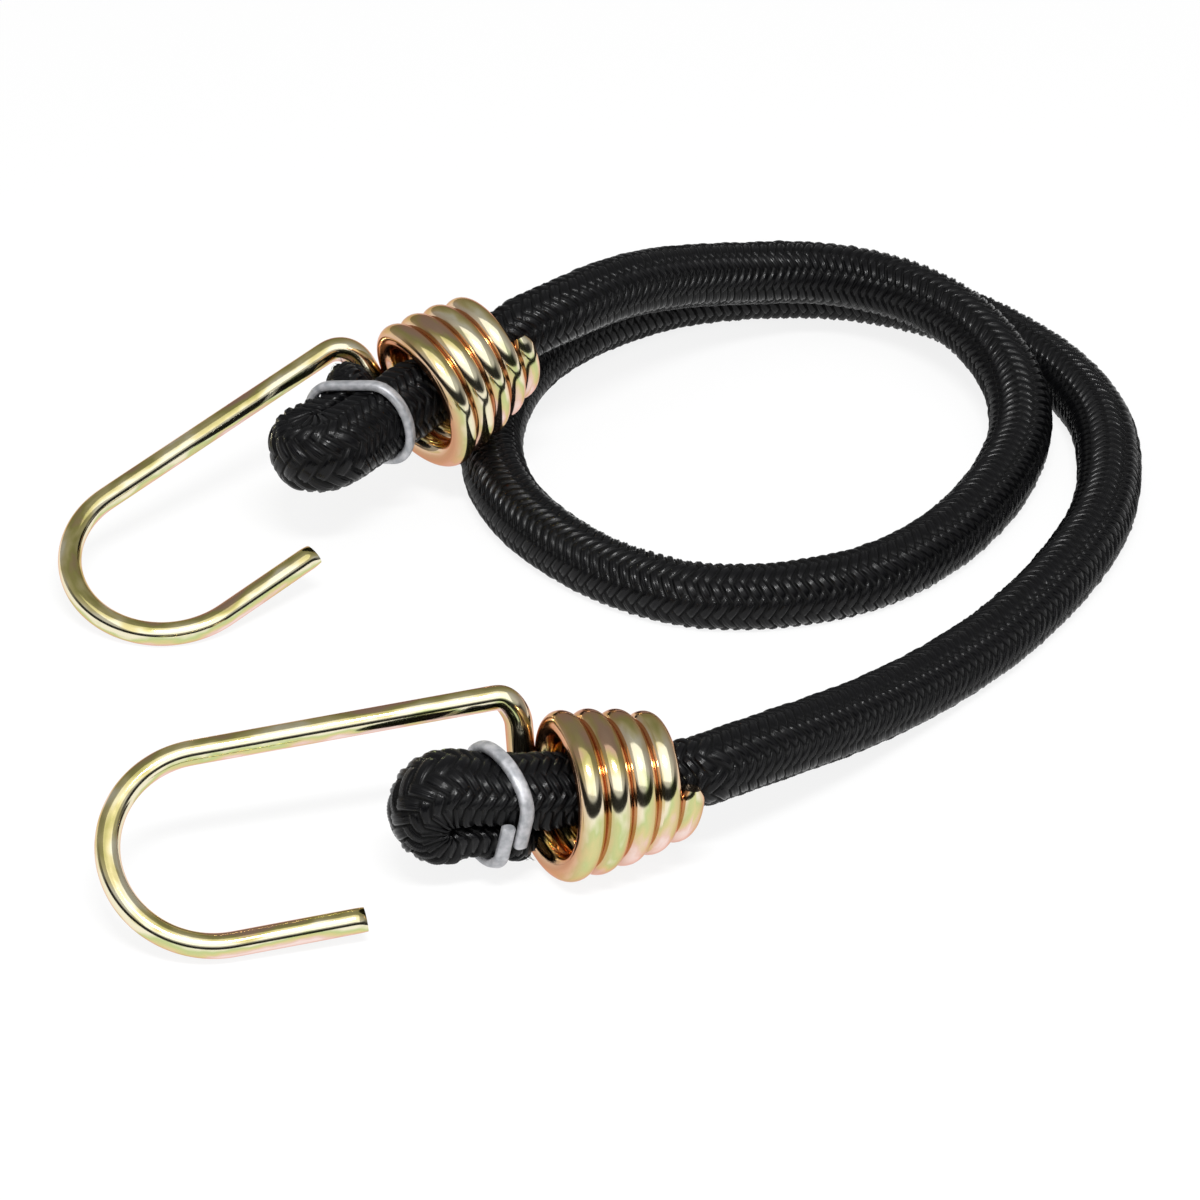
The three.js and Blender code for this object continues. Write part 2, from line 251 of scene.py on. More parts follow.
@dataclass
class Nodes:
    """The nodes of a material or of the room, with short ways to add and link them."""

    owner: bpy.types.Material | bpy.types.World
    tree: bpy.types.NodeTree = field(init=False)
    shader: bpy.types.Node = field(init=False)

    def __post_init__(self) -> None:
        """Turn the nodes on and find the one that shades."""
        self.owner.use_nodes = True
        self.tree = self.owner.node_tree
        is_room = isinstance(self.owner, bpy.types.World)
        self.shader = self.tree.nodes["Background" if is_room else "Principled BSDF"]

    def feed(self, node: bpy.types.Node, inputs: dict) -> None:
        """Link sockets to a node's inputs, or set these to constants.

        Args:
            node: The node.
            inputs: Sockets or constants, by the name or the place of the input.
        """
        for name, source in inputs.items():
            if isinstance(source, Socket):
                self.tree.links.new(source, node.inputs[name])
            else:
                node.inputs[name].default_value = source

    def add(self, kind: str, inputs: dict, **settings: object) -> bpy.types.Node:
        """Add a node.

        Args:
            kind: The node's type, without the leading ShaderNode.
            inputs: What its inputs get.
            **settings: Properties of the node by name.

        Returns:
            The new node.
        """
        node = self.tree.nodes.new("ShaderNode" + kind)
        for name, value in settings.items():
            setattr(node, name, value)
        self.feed(node, inputs)
        return node

    def math(self, operation: str, *values: object) -> Socket:
        """Work out a sum of one or two sockets or numbers."""
        return self.add("Math", dict(enumerate(values)), operation=operation).outputs[0]

    def mix(self, kind: Blend, share: Socket, first: object, second: object) -> Socket:
        """Blend two numbers or colours by the second one's share."""
        data_type, one, two, result = kind.value
        return self.add("Mix", {0: share, one: first, two: second}, data_type=data_type).outputs[result]

    def ramp(self, value: Socket, places: tuple, colours: tuple) -> Socket:
        """Turn a value into a colour.

        Args:
            value: The socket to read.
            places: The places of the ramp's stops, 0 to 1.
            colours: The red, green and blue at each stop.

        Returns:
            The colour's socket.
        """
        node = self.add("ValToRGB", {0: value})
        stops = node.color_ramp.elements
        while len(stops) < len(places):
            stops.new(1.0)
        for stop, place, colour in zip(stops, places, colours):
            stop.position = place
            stop.color = (*colour, 1.0)
        return node.outputs["Color"]

    def spread(self, value: Socket, *ends: float) -> Socket:
        """Map a value from the range of the first two ends to that of the others, or to 0 to 1."""
        return self.add("MapRange", dict(enumerate((value, *ends)))).outputs["Result"]

    def noise(self, place: Socket, scale: float, detail: float = 3.0) -> Socket:
        """Read a noise, of a scale and a number of finer layers, at a place."""
        return self.add("TexNoise", {"Vector": place, "Scale": scale, "Detail": detail}).outputs["Fac"]

    def bump(self, height: Socket, strength: float, distance: float) -> Socket:
        """Turn a height into a normal, with the metres that the value 1 stands for."""
        return self.add("Bump", {"Height": height, "Strength": strength, "Distance": distance}).outputs[0]

    def place(self, output: str) -> Socket:
        """Read a texture coordinate by its name."""
        return self.add("TexCoord", {}).outputs[output]

    def painted(self, name: str) -> Socket:
        """Read a number that is kept at the points of a piece."""
        return self.add("Attribute", {}, attribute_name=name).outputs["Fac"]


@dataclass(frozen=True)
class BraidFinish:
    """Black satin polyester yarn, duller in the grooves of the braid, where painted shade darkens its
    colour.

    Depths are the heights of yarn between which the painted shade of the groove's colour turns into the
    crown's, and gloss rise is how fast its roughness turns with the height. Filaments is how many of them
    a yarn shows.
    """

    groove: tuple = (0.0006, 0.0006, 0.0008)
    crown: tuple = (0.004, 0.004, 0.0046)
    painted_shade_depths: tuple = (0.15, 0.85)
    roughness: tuple = (0.15, 0.28)
    groove_roughness: float = 0.85
    gloss_rise: float = 2.0
    specular: float = 0.19
    filaments: float = 8.0
    filament_height: float = 0.018 * MM
    filament_strength: float = 0.5
    fuzz: float = 1.5
    fuzz_detail: float = 2.0

    def material(self) -> bpy.types.Material:
        """Make the braid's material.

        Returns:
            The material, which reads the numbers at the sheath's points.
        """
        nodes = Nodes(bpy.data.materials.new("black_braid"))
        crown, tone, over = (nodes.painted(name) for name in ("crown", "tone", "over"))
        height = nodes.math("MULTIPLY", crown, self.gloss_rise)
        height.node.use_clamp = True
        gloss = nodes.spread(tone, 0.0, 1.0, *self.roughness)
        split = nodes.add("SeparateXYZ", {0: nodes.place("UV")})
        pitch = 2 * math.pi * self.filaments
        ways = [nodes.math(sign, split.outputs[0], split.outputs[1]) for sign in ("SUBTRACT", "ADD")]
        stripes = [nodes.math("SINE", nodes.math("MULTIPLY", way, pitch)) for way in ways]
        fuzz = nodes.noise(nodes.place("UV"), self.filaments, self.fuzz_detail)
        fuzz = nodes.math("MULTIPLY", fuzz, self.fuzz)
        raised = nodes.math("ADD", nodes.mix(Blend.NUMBERS, over, *stripes), fuzz)
        # The base colour is painted shade by yarn height: darkest in the grooves, a little lighter on the
        # crowns.
        nodes.feed(nodes.shader, {
            "Base Color": nodes.ramp(crown, self.painted_shade_depths, (self.groove, self.crown)),
            "Roughness": nodes.mix(Blend.NUMBERS, height, self.groove_roughness, gloss),
            "Specular IOR Level": self.specular,
            "Normal": nodes.bump(raised, self.filament_strength, self.filament_height),
        })
        return nodes.owner


@dataclass(frozen=True)
class RubberFinish:
    """Natural rubber thread, matt and slightly dusty."""

    pale: tuple = (0.52, 0.44, 0.3)
    dark: tuple = (0.4, 0.32, 0.2)
    roughness: float = 0.8
    dust_scale: float = 900.0
    dust_levels: tuple = (0.3, 0.7)
    dust_strength: float = 0.3
    dust_height: float = 0.1 * MM

    def material(self) -> bpy.types.Material:
        """Make the rubber's material.

        Returns:
            The material.
        """
        nodes = Nodes(bpy.data.materials.new("natural_rubber"))
        dust = nodes.noise(nodes.place("Object"), self.dust_scale)
        nodes.feed(nodes.shader, {
            "Base Color": nodes.ramp(dust, self.dust_levels, (self.dark, self.pale)),
            "Roughness": self.roughness,
            "Normal": nodes.bump(dust, self.dust_strength, self.dust_height),
        })
        return nodes.owner


@dataclass(frozen=True)
class ZincFinish:
    """Yellow passivated zinc on drawn wire, tinted olive, green and rose in patches by chance, with
    painted
    reflection: pale in the middle of the wire, rose and pink towards its edges.

    Stops are the places of the film's tints. Patchiness is how far a patch shifts them, and stretch is how
    much shorter than the wire's whole length a patch is. Bath is the fine grain of the plating. The copper
    tint is painted shade and reflection in the hollows between the coil's turns.
    """

    rosewood: tuple = (0.5, 0.33, 0.22)
    olive: tuple = (0.46, 0.42, 0.14)
    straw: tuple = (0.88, 0.82, 0.6)
    gold: tuple = (0.7, 0.61, 0.29)
    green: tuple = (0.54, 0.61, 0.27)
    rose: tuple = (0.82, 0.59, 0.5)
    pink: tuple = (0.9, 0.74, 0.69)
    painted_hollow_shade: tuple = (0.62, 0.34, 0.2)
    edge: tuple = (0.9, 0.62, 0.54)
    stops: tuple = (0.02, 0.1, 0.2, 0.32, 0.44, 0.6, 0.72, 0.85, 1.0)
    roughness: tuple = (0.07, 0.16)
    patchiness: float = 1.4
    patch_scale: float = 2.6
    stretch: float = 14.0
    bath_scale: float = 420.0
    bath_strength: float = 0.12
    bath_height: float = 0.06 * MM

    @property
    def film_and_painted_reflection(self) -> tuple:
        """The film's tints with painted reflection, from the side of the wire facing away from the painted
        reflection's direction to the side facing it.
        """
        lower = (self.pink, self.rose, self.gold, self.green, self.straw)
        return (*lower, self.straw, self.gold, self.olive, self.rosewood)

    def material(self) -> bpy.types.Material:
        """Make the plating's material.

        Returns:
            The material, which reads the numbers at the wire's points and tints it in patches.
        """
        nodes = Nodes(bpy.data.materials.new("yellow_zinc"))
        scale = (1.0, self.stretch, 1.0)
        wire = nodes.add("Mapping", {"Vector": nodes.place("UV"), "Scale": scale}).outputs["Vector"]
        patches = nodes.math("SUBTRACT", nodes.noise(wire, self.patch_scale), 0.5)
        shift = nodes.math("MULTIPLY", patches, self.patchiness)
        # The tints are placed by painted reflection round the wire, shifted in patches by chance.
        film_and_painted_reflection = nodes.ramp(nodes.math("ADD", nodes.painted("side"), shift), self.stops, self.film_and_painted_reflection)
        bath = nodes.noise(nodes.place("Object"), self.bath_scale)
        # Painted shade: the hollows between the coil's turns are tinted a dark copper that stands in for
        # shade and reflections between them.
        painted_shade_share = nodes.painted("painted_shade_share")
        nodes.feed(nodes.shader, {
            "Base Color": nodes.mix(Blend.COLOURS, painted_shade_share, film_and_painted_reflection, (*self.painted_hollow_shade, 1.0)),
            "Metallic": 1.0,
            "Roughness": nodes.spread(bath, 0.0, 1.0, *self.roughness),
            "Specular Tint": (*self.edge, 1.0),
            "Normal": nodes.bump(bath, self.bath_strength, self.bath_height),
        })
        return nodes.owner


@dataclass(frozen=True)
class GalvanisedFinish:
    """Pale grey zinc on soft steel wire, satin with fine marks from the crimping jaws."""

    pale: tuple = (0.55, 0.55, 0.57)
    grey: tuple = (0.33, 0.34, 0.36)
    roughness: tuple = (0.42, 0.62)
    metallic: float = 0.5
    spangle_scale: float = 650.0
    spangle_detail: float = 4.0
    spangle_levels: tuple = (0.35, 0.65)
    mark_strength: float = 0.25
    mark_depth: float = 0.12 * MM

    def material(self) -> bpy.types.Material:
        """Make the hog rings' material.

        Returns:
            The material.
        """
        nodes = Nodes(bpy.data.materials.new("galvanised_wire"))
        spangle = nodes.noise(nodes.place("Object"), self.spangle_scale, self.spangle_detail)
        nodes.feed(nodes.shader, {
            "Base Color": nodes.ramp(spangle, self.spangle_levels, (self.grey, self.pale)),
            "Metallic": self.metallic,
            "Roughness": nodes.spread(spangle, 0.0, 1.0, *self.roughness),
            "Normal": nodes.bump(spangle, self.mark_strength, self.mark_depth),
        })
        return nodes.owner


@dataclass(frozen=True)
class TableFinish:
    """A white table top that looks white directly and in the plating, and keeps a light shadow."""

    colour: tuple = (0.93, 0.93, 0.93)
    roughness: float = 0.9
    glow: float = 0.85

    def material(self) -> bpy.types.Material:
        """Make the table top's material.

        Returns:
            The material, a matt white that glows only for rays that show it.
        """
        nodes = Nodes(bpy.data.materials.new("white_table"))
        matt = {"Roughness": self.roughness, "Specular IOR Level": 0.0}
        nodes.feed(nodes.shader, {"Base Color": (*self.colour, 1.0), **matt})
        rays = nodes.add("LightPath", {}).outputs
        seen = nodes.math("MAXIMUM", rays["Is Camera Ray"], rays["Is Glossy Ray"])
        seen = nodes.math("MAXIMUM", seen, rays["Is Transmission Ray"])
        both = nodes.add("MixShader", {
            0: nodes.math("MULTIPLY", seen, self.glow),
            1: nodes.shader.outputs["BSDF"],
            2: nodes.add("Emission", {}).outputs["Emission"],
        })
        nodes.feed(nodes.tree.nodes["Material Output"], {"Surface": both.outputs["Shader"]})
        return nodes.owner


@dataclass(frozen=True)
class Place:
    """A frame in the part: where its origin lies and how its axes are turned."""

    origin: np.ndarray
    axes: np.ndarray

    def in_part(self, points: np.ndarray) -> np.ndarray:
        """Bring points of this frame into the part's frame."""
        return points @ self.axes.T + self.origin


@dataclass(frozen=True)
class Fold:
    """How the cord is folded at one end.

    The lengths are measured from the neck, where the cord leaves the coil's axis. The angles are the lean
    off the axis, the direction of that lean about the axis and the tail's direction about the leg. Flare
    is how far the cut end stands off the leg, and swing is how far it leans along the crease.
    """

    length: float
    lean: float
    lean_to: float
    tail: float
    flare: float = 0.0
    swing: float = 0.0


@dataclass(frozen=True)
class Crimp:
    """Where a hog ring sits on its fold.

    Place is its distance from the neck. It slants away from the neck on the tail's side and is skewed
    towards the neck at its ends, both in degrees.
    """

    place: float
    slant: float
    skew: float


@dataclass(frozen=True)
class CordEnd:
    """Where one end of the cord lies: its coil's mouth and angles, its fold and its hog ring.

    Slope is how far the coil's turns lean back along its axis, by the way across it in both directions.
    """

    letter: str
    mouth: tuple
    heading: float
    dip: float
    roll: float
    fold: Fold
    crimp: Crimp
    tip_extra: float = 0.0
    slope: tuple = (0.0, 0.0)
    neck_setback: float = 6.5 * MM

    def coil(self) -> Place:
        """Give the coil's frame, X out of the mouth and Y towards the shank."""
        axes = turn("z", self.heading) @ turn("y", self.dip) @ turn("x", self.roll)
        return Place(np.array(self.mouth), axes)

    def legs(self) -> Place:
        """Give the fold's frame.

        Returns:
            A frame with X along the standing leg, Y towards the tail and Z along the crease.
        """
        coil, fold = self.coil(), self.fold
        lean = turn("x", fold.lean_to) @ turn("z", fold.lean) @ turn("x", fold.tail)
        return Place(coil.in_part(np.array([-self.neck_setback, 0, 0])), coil.axes @ lean)


class End(Enum):
    """The two ends of the cord."""

    A = CordEnd(
        "a", (9 * MM, 68 * MM, 23.2 * MM), 219.3, 14, 162.8,
        Fold(41.5 * MM, lean=15.5, lean_to=239, tail=149, flare=4.5 * MM, swing=-2.5 * MM),
        Crimp(21.5 * MM, slant=14, skew=0),
    )
    B = CordEnd(
        "b", (36.7 * MM, -57.8 * MM, 14.85 * MM), 194.5, 2.7, 145.8,
        Fold(37 * MM, lean=14, lean_to=310, tail=164),
        Crimp(19 * MM, slant=0, skew=20),
        tip_extra=1.6 * MM,
        slope=(-0.07, -0.17),
    )


@dataclass(frozen=True)
class FoldSizes:
    """The sizes that both folds share.

    The waist is where the ring pinches the legs, and the seal is the cut end. Draw back is the part of its
    flare by which a cut end gets shorter.
    """

    cord: float = CORD_DIAMETER
    tail_setback: float = 11 * MM
    leg_thickness: float = 10.6 * MM
    leg_width: float = 14.2 * MM
    leg_gap: float = 0.5 * MM
    waist_thickness: float = 8.8 * MM
    waist_length: float = 8 * MM
    seal_thickness: float = 8.2 * MM
    seal_width: float = 10.8 * MM
    draw_back: float = 0.25
    neck_points: int = 25
    turn_points: int = 49

    @property
    def leg_offset(self) -> float:
        """The leg's distance from the middle of the fold."""
        return (self.leg_thickness + self.leg_gap) / 2

    @property
    def waist_offset(self) -> float:
        """The same inside the ring."""
        return (self.waist_thickness + self.leg_gap) / 2

    def line(self, fold: Fold, crimp: Crimp) -> tuple[np.ndarray, np.ndarray, np.ndarray]:
        """Lay the folded cord's centre line in the fold's frame.

        Args:
            fold: The fold to lay.
            crimp: The ring that pinches it.

        Returns:
            Points up the leg, round the turn and down the tail, the cord's size across the fold and
            along the crease at each, and the direction in which it is pressed against the other leg.
        """
        t = np.linspace(0, 1, self.neck_points)
        leg_size = (self.leg_thickness, self.leg_width)
        waist_size = (self.waist_thickness, self.leg_width)
        grown = self.cord + np.outer(smooth(t), np.array(leg_size) - self.cord)
        neck = np.column_stack([self.tail_setback * t, 0 * t, 0 * t, grown, 0 * t, smooth(t), 0 * t])
        ways = crimp.place + self.waist_length * np.array([-0.5, 0.5])
        up = [(x, 0, 0, *waist_size, 0, 1, 0) for x in ways]
        down = [(x, 2 * self.waist_offset, 0, *waist_size, 0, -1, 0) for x in ways[::-1]]
        angle = np.linspace(0, math.pi, self.turn_points)
        centre = fold.length - self.leg_offset - self.leg_thickness / 2
        bend = np.column_stack([
            centre + self.leg_offset * np.sin(angle),
            self.leg_offset * (1 - np.cos(angle)),
            0 * angle,
            np.tile(leg_size, (len(angle), 1)),
            -np.sin(angle),
            np.cos(angle),
            0 * angle,
        ])
        away = 2 * self.leg_offset + fold.flare
        short = self.tail_setback + self.draw_back * fold.flare
        cut = (short, away, fold.swing, self.seal_thickness, self.seal_width, 0, 0, 0)
        stub = (*np.mean([down[-1][:3], cut[:3]], axis=0), *leg_size, 0, -0.5, 0)
        rows = np.concatenate([neck, up, bend, down, [stub, cut]])
        return rows[:, :3], rows[:, 3:5], rows[:, 5:]


@dataclass(frozen=True)
class HookSizes:
    """The wire form that both hooks share, in the frame of its coil.

    Taper is the power by which the coil narrows, and cord lead is how far past the wire's end the cord
    keeps to the coil's axis.
    """

    wire: float = 4.45 * MM
    coil_wire: float = 5.0 * MM
    pitch: float = 4.78 * MM
    turns: float = 4.5
    mouth_radius: float = 12.6 * MM
    end_radius: float = 8.75 * MM
    taper: float = 1.8
    shank_offset: float = 20.4 * MM
    tip_offset: float = 15.6 * MM
    reach: float = 80 * MM
    tip_length: float = 21.5 * MM
    corner: float = 5.5 * MM
    cord_lead: float = 6.15 * MM
    bend_points: int = 65
    corner_points: int = 17
    coil_points: int = 400

    @property
    def first(self) -> float:
        """Where the coil's wire starts along the axis."""
        return self.pitch / 2

    @property
    def last(self) -> float:
        """Where the coil's wire ends along the axis."""
        return self.first - self.turns * self.pitch

    @property
    def narrow_end(self) -> float:
        """Where the cord leaves the narrow end of the coil's axis."""
        return self.last - self.cord_lead

    def line(self, tip_extra: float) -> np.ndarray:
        """Lay the wire's centre line from the tip round the bend, up the shank and into the coil.

        Args:
            tip_extra: How much longer than usual the tip was cut.

        Returns:
            Points in the coil's frame.
        """
        radius = (self.shank_offset + self.tip_offset) / 2
        centre = self.reach - radius
        angle = math.pi * np.linspace(-0.5, 0.5, self.bend_points)
        bend = np.stack([centre + radius * np.cos(angle), radius * np.sin(angle), 0 * angle], axis=1)
        bend[:, 1] += self.shank_offset - radius
        tip = [[centre - self.tip_length - tip_extra, -self.tip_offset, 0]]
        touch = math.acos(self.mouth_radius / self.shank_offset)
        riser = np.array([0, -math.sin(touch), math.cos(touch)])
        angle = np.linspace(0, math.pi / 2, self.corner_points)
        foot = np.array([self.first, self.shank_offset, 0])
        corner = foot + self.corner * np.outer(1 - np.cos(angle), riser)
        corner[:, 0] += self.corner * (1 - np.sin(angle))
        t = np.linspace(0, 1, self.coil_points)
        angle = touch + 2 * math.pi * self.turns * t
        across = self.mouth_radius - (self.mouth_radius - self.end_radius) * t**self.taper
        along = self.first + (self.last - self.first) * t
        coil = np.stack([along, across * np.cos(angle), across * np.sin(angle)], axis=1)
        return np.concatenate([tip, bend, corner, coil])


@dataclass(frozen=True)
class Yarn:
    """The shape of the braid's yarns.

    A float is where a yarn lies on top of the ones that it crosses. Rise is a float's height, and sunk is
    the part of it inside the cord's diameter. Square and arch are the powers of its section and of its
    length. Groove and dip are the parts of its height that it loses between its strands and at its ends.
    Vary is what it gains by chance on the least height, and lean is how far it may tip to one side.
    """

    crossed: int = 2
    strands: int = 2
    rise: float = 0.82 * MM
    sunk: float = 0.75
    square: float = 2.2
    arch: float = 0.7
    groove: float = 0.38
    dip: float = 0.5
    least: float = 0.9
    vary: float = 0.25
    lean: float = 0.5

    def height(
        self, across: np.ndarray, along: np.ndarray, tone: np.ndarray, tip: np.ndarray
    ) -> np.ndarray:
        """Work out how high floats stand.

        Args:
            across: Places across the floats, 0 to 1.
            along: Places along the floats, 0 to 1.
            tone: A number from 0 to 1 for each float, by chance.
            tip: A number from -0.5 to 0.5 for each float, by chance.

        Returns:
            The heights at these places, as parts of the rise.
        """
        arch = np.sin(np.pi * np.clip(along, 0, 1)) ** self.arch
        strand = np.abs(np.sin(np.pi * self.strands * across))
        crown = 1 - np.abs(2 * across - 1) ** self.square
        crown *= (1 - self.groove + self.groove * strand) * (1 - self.dip + self.dip * arch)
        return crown * (self.least + self.vary * tone + self.lean * tip * (2 * across - 1))


@dataclass
class Cord:
    """The elastic cord: its braided sheath, rubber threads and frayed cut ends.

    Table flat is how much of its underside is pressed flat on the table, gripped is its size in a coil and
    flatness is how flat a leg gets where it presses on the other one. Lip is the part of the wall that is
    rounded at a cut end. The fibres at a cut end have ranges of depth in the wall, swing, length and lean.
    The route's points are in millimetres, with how far the cord is lifted off the table.
    """

    diameter: float = CORD_DIAMETER
    length: float = 843 * MM
    wall: float = 1.2 * MM
    table_flat: float = 1.25 * MM
    gripped: float = 12.0 * MM
    flatness: float = 0.8
    yarn: Yarn = Yarn()
    yarns: int = 10
    row_pitch: float = 2.1 * MM
    points_per_yarn: int = 10
    rings_per_row: int = 10
    span_points: int = 24
    folds: FoldSizes = FoldSizes()
    hook: HookSizes = HookSizes()
    lip: float = 0.4
    lip_rings: int = 15
    core_step: int = 15
    core_rings: int = 3
    core_pitch: float = 1.32 * MM
    thread_width: float = 1.15 * MM
    core_setback: float = 1.5 * MM
    fibres: int = 70
    fibre_width: float = 0.16 * MM
    fibre_root: float = 0.4 * MM
    fibre_taper: float = 0.6
    fibre_depths: tuple = (0.15, 0.95)
    fibre_swings: tuple = (-0.5, 0.5)
    fibre_lengths: tuple = (0.64 * MM, 1.92 * MM)
    fibre_leans: tuple = (-0.35, 0.65)
    route: tuple = (
        (35.5, 89.5, 25), (47.5, 103, 22.8), (59.5, 116, 18), (71.5, 125.5, 13.5), (84.5, 131, 10.8),
        (97.5, 130, 9.5), (109.5, 123, 8.7), (119, 112, 7), (125, 99, 3.8), (126, 85.5, 1.2),
        (123.5, 74, 0), (117.5, 58.5, 0), (107, 42, 0), (93.5, 30, 0), (77, 24, 0), (61, 24, 0),
        (46, 31.5, 0), (33, 45, 0), (24.5, 61, 0), (21.5, 79.5, 0), (23.5, 97, 0), (30.5, 115.5, 0),
        (43, 130, 0), (58, 139.5, 0), (75, 143.5, 0), (93, 143, 0), (110, 136.5, 0), (124, 124, 0),
        (135, 108.5, 0), (141.5, 91, 0), (142.5, 72.5, 0), (139, 51.5, 0), (130, 30.5, 0),
        (117.5, 10.5, 0), (106, -4, 0.8), (94.5, -18, 3.2), (83.5, -31, 6.6), (72, -42.5, 9.6),
    )
    line: np.ndarray = field(init=False)
    sizes: np.ndarray = field(init=False)
    inward: np.ndarray = field(init=False)
    crease: np.ndarray = field(init=False)
    side: np.ndarray = field(init=False)
    up: np.ndarray = field(init=False)

    def __post_init__(self) -> None:
        """Lay the cord, at rings close enough for the braid."""
        start, finish = (self.folded(end.value) for end in End)
        loop = self.loop()
        free = (loop, np.full((len(loop), 2), self.diameter), np.zeros_like(loop))
        rough = [np.concatenate([a[::-1], b, c]) for a, b, c in zip(start, free, finish)]
        rows = round(lengths_along(rough[0])[-1] / self.row_pitch)
        laid = evenly(rough[0], rows * self.rings_per_row + 1, *rough[1:])
        self.line, self.sizes, self.inward = (rounded(values, self.rings_per_row) for values in laid)
        half = len(self.line) // 2
        first, last = (end.value.legs().axes[:, 2] for end in End)
        self.crease = np.where(np.arange(len(self.line))[:, None] < half, first, last)
        self.side, self.up = frames_along(self.line, np.array([0.0, 0, 1]), half)

    def folded(self, end: CordEnd) -> tuple[np.ndarray, np.ndarray, np.ndarray]:
        """Lay one end in the part's frame, from where the coil grips it to the tail.

        Args:
            end: The end to lay.

        Returns:
            Its points, sizes and pressed directions, as the fold's line gives them.
        """
        points, sizes, inward = self.folds.line(end.fold, end.crimp)
        grip = np.array([[self.hook.last, 0, 0], [self.hook.last + self.hook.pitch, 0, 0]])
        return (
            np.concatenate([end.coil().in_part(grip), end.legs().in_part(points)]),
            np.concatenate([np.full((2, 2), self.gripped), sizes]),
            np.concatenate([np.zeros((2, 3)), inward @ end.legs().axes.T]),
        )

    def loop(self) -> np.ndarray:
        """Lay the free cord as a centripetal spline through its route.

        Returns:
            Points from the narrow end of coil A to that of coil B.
        """
        narrow_end = np.array([self.hook.narrow_end, 0, 0])
        first, last = (end.value.coil().in_part(narrow_end) for end in End)
        lying = self.diameter / 2 - self.table_flat
        free = np.array(self.route) * MM + [0, 0, lying]
        knots = np.concatenate([[first], free, [last]])
        knots = np.concatenate([[2 * knots[0] - knots[1]], knots, [2 * knots[-1] - knots[-2]]])
        t = np.linspace(0, 1, self.span_points, endpoint=False)[:, None]
        spans = []
        for p0, p1, p2, p3 in zip(knots, knots[1:], knots[2:], knots[3:]):
            d0, d1, d2 = (math.sqrt(np.linalg.norm(b - a)) for a, b in ((p0, p1), (p1, p2), (p2, p3)))
            leave = d1 * ((p1 - p0) / d0 - (p2 - p0) / (d0 + d1) + (p2 - p1) / d1)
            arrive = d1 * ((p2 - p1) / d1 - (p3 - p1) / (d1 + d2) + (p3 - p2) / d2)
            square = 3 * (p2 - p1) - 2 * leave - arrive
            cube = 2 * (p1 - p2) + leave + arrive
            spans.append(p1 + leave * t + square * t**2 + cube * t**3)
        return np.concatenate([*spans, [last]])

    def section(self, radii: np.ndarray, angles: np.ndarray, rings: np.ndarray) -> np.ndarray:
        """Set sections of the cord into its frames, squeezed in the folds and flat on the table.

        Args:
            radii: The section's radius by ring and by angle.
            angles: Angles round the section.
            rings: The indices of the rings along the line.

        Returns:
            Points by ring and by angle.
        """
        across, upward = radii * np.cos(angles), radii * np.sin(angles)
        offset = sections(self.side[rings], self.up[rings], across, upward)
        crease = self.crease[rings][:, None, :]
        thin, wide = (self.sizes[rings][:, k, None, None] / self.diameter for k in (0, 1))
        spread = np.sum(offset * crease, axis=-1, keepdims=True)
        points = self.line[rings][:, None, :] + offset * thin + crease * spread * (wide - thin)
        press = np.linalg.norm(self.inward[rings], axis=-1)[:, None, None]
        facing = self.inward[rings][:, None, :] / np.maximum(press, TINY)
        share = np.clip(2 * np.sum(offset * facing, axis=-1, keepdims=True) / self.diameter, 0, 1)
        flatter = share ** (1 - self.flatness * press) - share
        points += facing * flatter * thin * self.diameter / 2
        points[..., 2] = np.maximum(points[..., 2], 0)
        return points

    def weave(self, around: np.ndarray, rows: np.ndarray) -> tuple[np.ndarray, np.ndarray, np.ndarray]:
        """Work out the braid, in which each yarn goes over as many others as under.

        Args:
            around: Places round the cord, in yarns.
            rows: Places along the cord, in rows.

        Returns:
            The height of the yarn on top, its tone and whether it is of the rising set, each by row and
            place.
        """
        crossed = self.yarn.crossed
        rising, falling = around + rows[:, None], around - rows[:, None]
        i, j = np.floor(rising + NUDGE), np.floor(falling + NUDGE)
        step = np.mod(i + j, 2 * crossed)
        over = step < crossed
        across = np.where(over, rising - i, falling - j)
        along = np.where(over, step + falling - j, step - crossed + rising - i) / crossed
        first = np.where(over, i - j + step, i - j - step + crossed)
        key = np.where(over, 0, self.yarns) + np.mod(np.where(over, i, j), self.yarns)
        key += 2 * self.yarns * first
        # The second draw for a float is made between the whole keys.
        tone, tip = scatter(key), scatter(key + 0.37) - 0.5
        return self.yarn.height(across, along, tone, tip), tone, over.astype(float)

    def build_sheath(self) -> bpy.types.Object:
        """Build the braided sheath, with its wall turned in at the cut ends.

        Returns:
            The sheath, with the height, tone and set of its yarns kept at its points.
        """
        sides = self.yarns * self.points_per_yarn
        around = np.arange(sides) / self.points_per_yarn
        angles = once_round(sides) - np.pi / 2
        rings = np.arange(len(self.line))
        rows = rings / self.rings_per_row
        crown, tone, over = self.weave(around, rows)
        outer = self.diameter / 2 - self.yarn.sunk * self.yarn.rise
        body = self.section(outer + self.yarn.rise * crown, angles, rings)
        bore = outer - self.wall
        widths = np.tile([[bore], [bore], [outer - self.lip * self.wall]], sides)
        mouths = []
        for end, inside in ((rings[0], rings[self.lip_rings]), (rings[-1], rings[-1 - self.lip_rings])):
            mouths.append(self.section(widths, angles, np.array([inside, end, end])))
        turned_in = np.arange(1, len(widths) + 1)
        along = np.concatenate([rows[0] - turned_in[::-1], rows, rows[-1] + turned_in])
        skin = Skin()
        skin.sweep(np.concatenate([mouths[0], body, mouths[1][::-1]]), self.yarns, along)
        sheath = skin.made("braided_sheath_woven")
        inner, ends = np.zeros(widths.size), np.zeros(2 * sides)
        for name, values in (("crown", crown), ("tone", tone), ("over", over)):
            paint_points(sheath, name, np.concatenate([inner, values.ravel(), inner, ends]))
        return sheath

